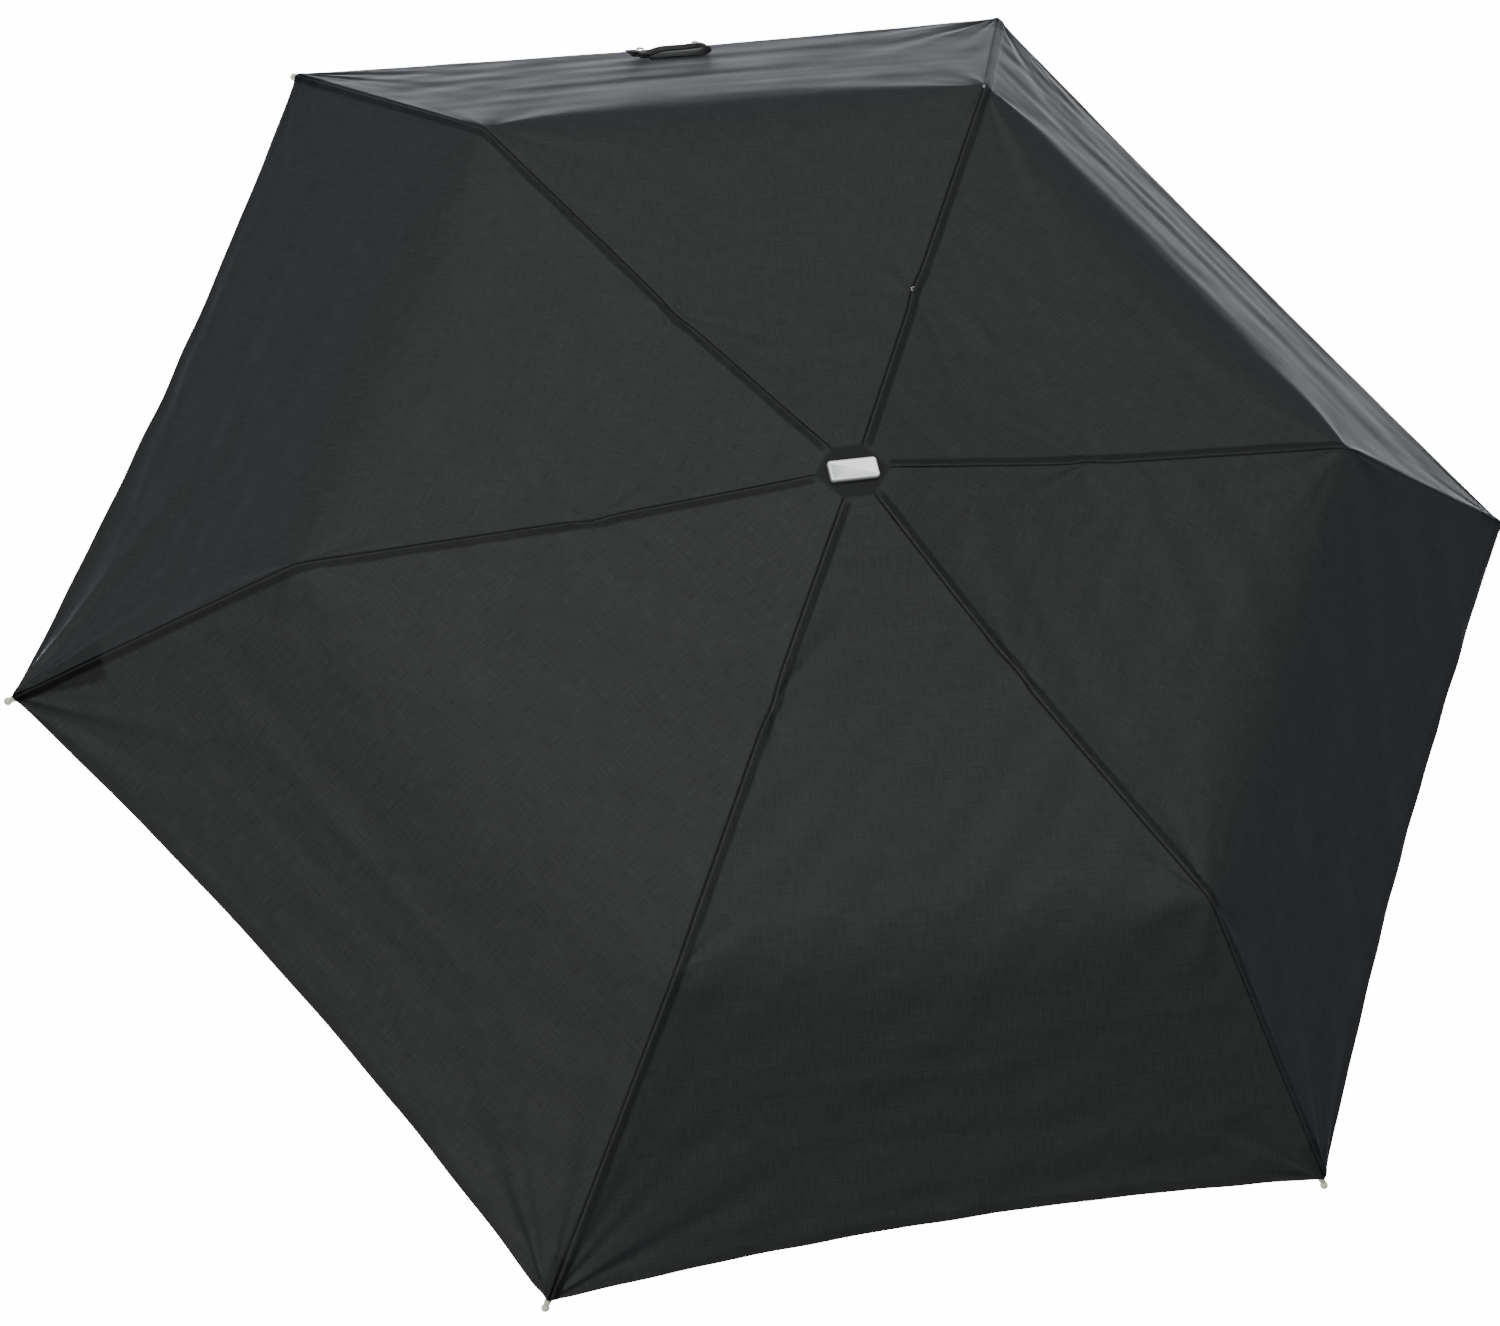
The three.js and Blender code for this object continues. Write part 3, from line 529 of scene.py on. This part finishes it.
MATERIALS = {
    "black_plastic": black_plastic, "grey_plastic": grey_plastic, "aluminium": aluminium,
    "painted_steel": enamel, "bright_steel": zinc, "satin_silver": silver, "cream_plastic": cream_plastic,
    "lining": lining_cloth, "fabric": lining_cloth,
}


# ---- Canopy pieces --------------------------------------------------------------------------------

bounds_rows = HUB_ROWS + np.cumsum((0,) + ROWS)
SECTIONS = (("top", "top_rib", 0.22), ("middle", "middle_rib", 0.15), ("end", "end_rib", 0.11))


def declare_cloth(own, across, k):
    """The cut is half of the flat trapezoid between two ribs' fold points, less the curve of the hem."""
    points, others = ribs[own]["points"], ribs[across]["points"]
    inner, outer = (others[k] - points[k]).length / 2, (others[k + 1] - points[k + 1]).length / 2
    length = ((points[k + 1] + others[k + 1]) / 2 - (points[k] + others[k]) / 2).length
    area = (inner + outer) / 2 * length
    if k == len(SECTIONS) - 1:
        area -= 2 / 3 * HEM_DIP * outer


def add_stitches(name, column, row, body, material):
    """A bar of three thread stitches over a seam."""
    at, n = grid[row, column % grid.shape[1]], normals[row, column % grid.shape[1]]
    along = grid[row + 2, column % grid.shape[1]] - grid[row - 2, column % grid.shape[1]]
    along /= np.linalg.norm(along)
    side = np.cross(n, along)
    verts, faces = [], []
    for k in range(3):
        middle = at + along * (k - 1) * 1.2 * MM + side * (0.3 if k % 2 else -0.3) * MM + n * 0.05 * MM
        lean = along * 0.35 * MM * (1 if k % 2 else -1)
        base = len(verts)
        for j, part in enumerate(np.linspace(-1, 1, 7)):
            swell = 0.2 * MM * math.sqrt(max(0.02, 1 - part * part))
            lift = 0.35 * MM * (1 - part * part)
            for q in range(8):
                turn = q * math.pi / 4
                verts.append(middle + side * part * 0.7 * MM + lean * part
                             + (n * math.cos(turn) + along * math.sin(turn)) * swell + n * lift)
            if j:
                for q in range(8):
                    a, b = base + 8 * (j - 1) + q, base + 8 * (j - 1) + (q + 1) % 8
                    faces.append((a, b, b + 8, a + 8))
        faces.append(tuple(base + q for q in range(7, -1, -1)))
        faces.append(tuple(base + 48 + q for q in range(8)))
    return add_mesh(name, verts, faces, body, material)


for i in range(RIBS):
    use = thread if i == 1 else dark_thread
    add_stitches(f"stitch_s_{i + 1}", i * COLUMNS, bounds_rows[1], f"top_rib_{i + 1}", use)
    add_stitches(
        f"stitch_k_{i + 1}", i * COLUMNS, bounds_rows[2], f"middle_rib_{i + 1}", use)

hub_rows = np.arange(0, HUB_ROWS + 1)
hub = grid_piece("canopy_hub", hub_rows, None, (0, RIBS * COLUMNS), "upper_shaft", canopy_cloth)
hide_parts("canopy")

CLEARANCE = 0.97  # of the width between neighbouring folded ribs
NARROW_CLEARANCE = 0.7  # of the two panels that face along y, where the folded ribs stand closer


def add_half(i, k, near):
    """The part of panel i's section k that lies nearer rib i, or nearer the next rib."""
    section, body, keep = SECTIONS[k]
    other = (i + 1) % RIBS
    own, across = (i, other) if near else (other, i)
    half = (0, COLUMNS // 2) if near else (COLUMNS // 2, COLUMNS)
    rows = np.arange(bounds_rows[k], bounds_rows[k + 1] + 1)
    name = f"canopy_{section}_{i + 1}{'a' if near else 'b'}"
    piece = grid_piece(name, rows, i, half, f"{body}_{own + 1}", canopy_cloth)
    declare_cloth(own, across, k)
    faces_y = abs(ribs[i]["out"].y + ribs[other]["out"].y) > 1.5
    keep *= NARROW_CLEARANCE if faces_y else CLEARANCE
    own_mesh(piece)


for i in range(RIBS):
    for k in range(len(SECTIONS)):
        add_half(i, k, True)
        add_half(i, k, False)


# ---- Cap and strap --------------------------------------------------------------------------------

def rounded_outline(x, y, corner, steps):
    points = []
    for k, (sx, sy) in enumerate(((1, 1), (-1, 1), (-1, -1), (1, -1))):
        for j in range(steps + 1):
            a = math.pi / 2 * (k + j / steps)
            points.append((sx * (x / 2 - corner) + corner * math.cos(a), sy * (y / 2 - corner) + corner * math.sin(a)))
    return points


def add_cap():
    low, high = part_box("top_cap")
    x, y = high.x - low.x, high.y - low.y
    steps, edge = 10, 0.9 * MM
    rings = [(0, low.z), (0, high.z - edge)]
    rings += [(edge * (1 - math.cos(a)), high.z - edge + edge * math.sin(a))
              for a in np.linspace(0, math.pi / 2, 7)[1:]]
    rings += [(edge + 0.5 * MM, high.z + 0.02 * MM), (edge + 0.9 * MM, high.z - 0.10 * MM)]
    verts = []
    for inset, z in rings:
        corner = max(2 * MM - inset, 0.3 * MM)
        verts += [(px, py, z) for px, py in rounded_outline(x - 2 * inset, y - 2 * inset, corner, steps)]
    count = 4 * (steps + 1)
    faces = [tuple(reversed(range(count)))]
    for r in range(len(rings) - 1):
        for q in range(count):
            a, b = r * count + q, r * count + (q + 1) % count
            faces.append((a, b, b + count, a + count))
    verts.append((0, 0, high.z + 0.25 * MM))
    last = (len(rings) - 1) * count
    faces += [(last + q, last + (q + 1) % count, len(verts) - 1) for q in range(count)]
    cap = add_mesh("cap_shell", verts, faces, "upper_shaft", silver)
    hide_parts("top_cap")


STRAP_PATH = (  # along the hem and up from the cloth, in mm
    (-14, 0.4), (-5, 0.4), (6, 0.5), (14, 0.5), (20, 0.8), (23.4, 2.0), (23.8, 3.8), (21.5, 5.0), (16, 5.3),
    (9, 4.9), (2, 4.7), (-5, 4.6), (-10, 3.8), (-14, 2.4), (-17, 1.5), (-19.5, 1.3),
)
STRAP_END = ((-14, 2.7), (-18, 3.0), (-21.5, 2.3), (-24.6, 2.6), (-22.4, 3.6), (-20.2, 4.2), (-24.8, 4.7), (-27.4, 4.6))


def smooth_path(points, steps=6):
    """A Catmull-Rom line through points."""
    p = [np.array(q, float) for q in (points[0], *points, points[-1])]
    out = []
    for k in range(1, len(p) - 2):
        for u in np.arange(steps) / steps:
            out.append(0.5 * (2 * p[k] + (p[k + 1] - p[k - 1]) * u
                              + (2 * p[k - 1] - 5 * p[k] + 4 * p[k + 1] - p[k + 2]) * u**2
                              + (3 * p[k] - p[k - 1] - 3 * p[k + 1] + p[k + 2]) * u**3))
    return np.array(out + [p[-2]])


def tape(path, width, thick, waver):
    """A closed band along path. Returns points (along, across, up) in mm, and faces."""
    way = np.gradient(path, axis=0)
    way /= np.linalg.norm(way, axis=1, keepdims=True)
    normal = np.stack([-way[:, 1], way[:, 0]], 1)
    profile = [(-1, -0.4), (-1, 0.4), (-0.9, 0.5), (0, 0.5), (0.9, 0.5), (1, 0.4), (1, -0.4), (0.9, -0.5), (0, -0.5),
               (-0.9, -0.5)]
    verts, faces = [], []
    for k, (point, n) in enumerate(zip(path, normal)):
        drift = waver * math.sin(k * 0.23)
        for across, up in profile:
            flat = point + n * up * thick
            verts.append((flat[0], across * width / 2 + drift, flat[1] + 0.12 * waver * across * math.cos(k * 0.3)))
    m = len(profile)
    for k in range(len(path) - 1):
        for q in range(m):
            a, b = k * m + q, k * m + (q + 1) % m
            faces.append((a, b, b + m, a + m))
    faces += [tuple(range(m - 1, -1, -1)), tuple(range((len(path) - 1) * m, len(path) * m))]
    return verts, faces


def add_strap():
    first, second = ribs[1]["points"], ribs[2]["points"]
    down = ((first[3] + second[3]) / 2 - (first[2] + second[2]) / 2).normalized()
    low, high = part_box("closure_strap")
    middle = (low + high) / 2
    along = Vector((middle.y, -middle.x, 0)).normalized()
    up = along.cross(down).normalized()
    if up.z < 0:
        up = -up
    foot = middle - up * 1.5 * MM - down * 7 * MM

    def place(points):
        return [foot + (along * a + down * c + up * h) * MM for a, c, h in points]

    verts, faces = tape(smooth_path(STRAP_PATH), 13.5, 0.6, 0.5)
    strap = add_mesh("strap_band", place(verts), faces, "end_rib_2", strap_cloth)
    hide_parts("closure_strap")
    verts, faces = tape(smooth_path(STRAP_END, 8), 9, 0.5, 0.3)
    tail = add_mesh("strap_end", place(verts), faces, "end_rib_2", strap_cloth)
    ends = []
    for number, (a, c, h) in enumerate(((-20.5, 2.0, 5.2), (15.0, 4.2, 5.9))):
        points = np.array([(a, c, h), (a + 2.0, c, h + 0.5), (a + 4.2, c, h)])
        verts, faces = tape(np.array([[p[0], p[2]] for p in points]), 3.2, 1.0, 0)
        verts = [(x, y + c, z) for x, y, z in verts]
        ends.append(add_mesh(f"strap_thread_{number + 1}", place(verts), faces, "end_rib_2", thread))
    for piece in (strap, tail, *ends):
        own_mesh(piece)


add_cap()
add_strap()

for node in nodes.values():
    if node.hide_render:
        continue
    slot = node.data.materials[0].name
    node.data.materials.clear()
    node.data.materials.append(MATERIALS[slot])
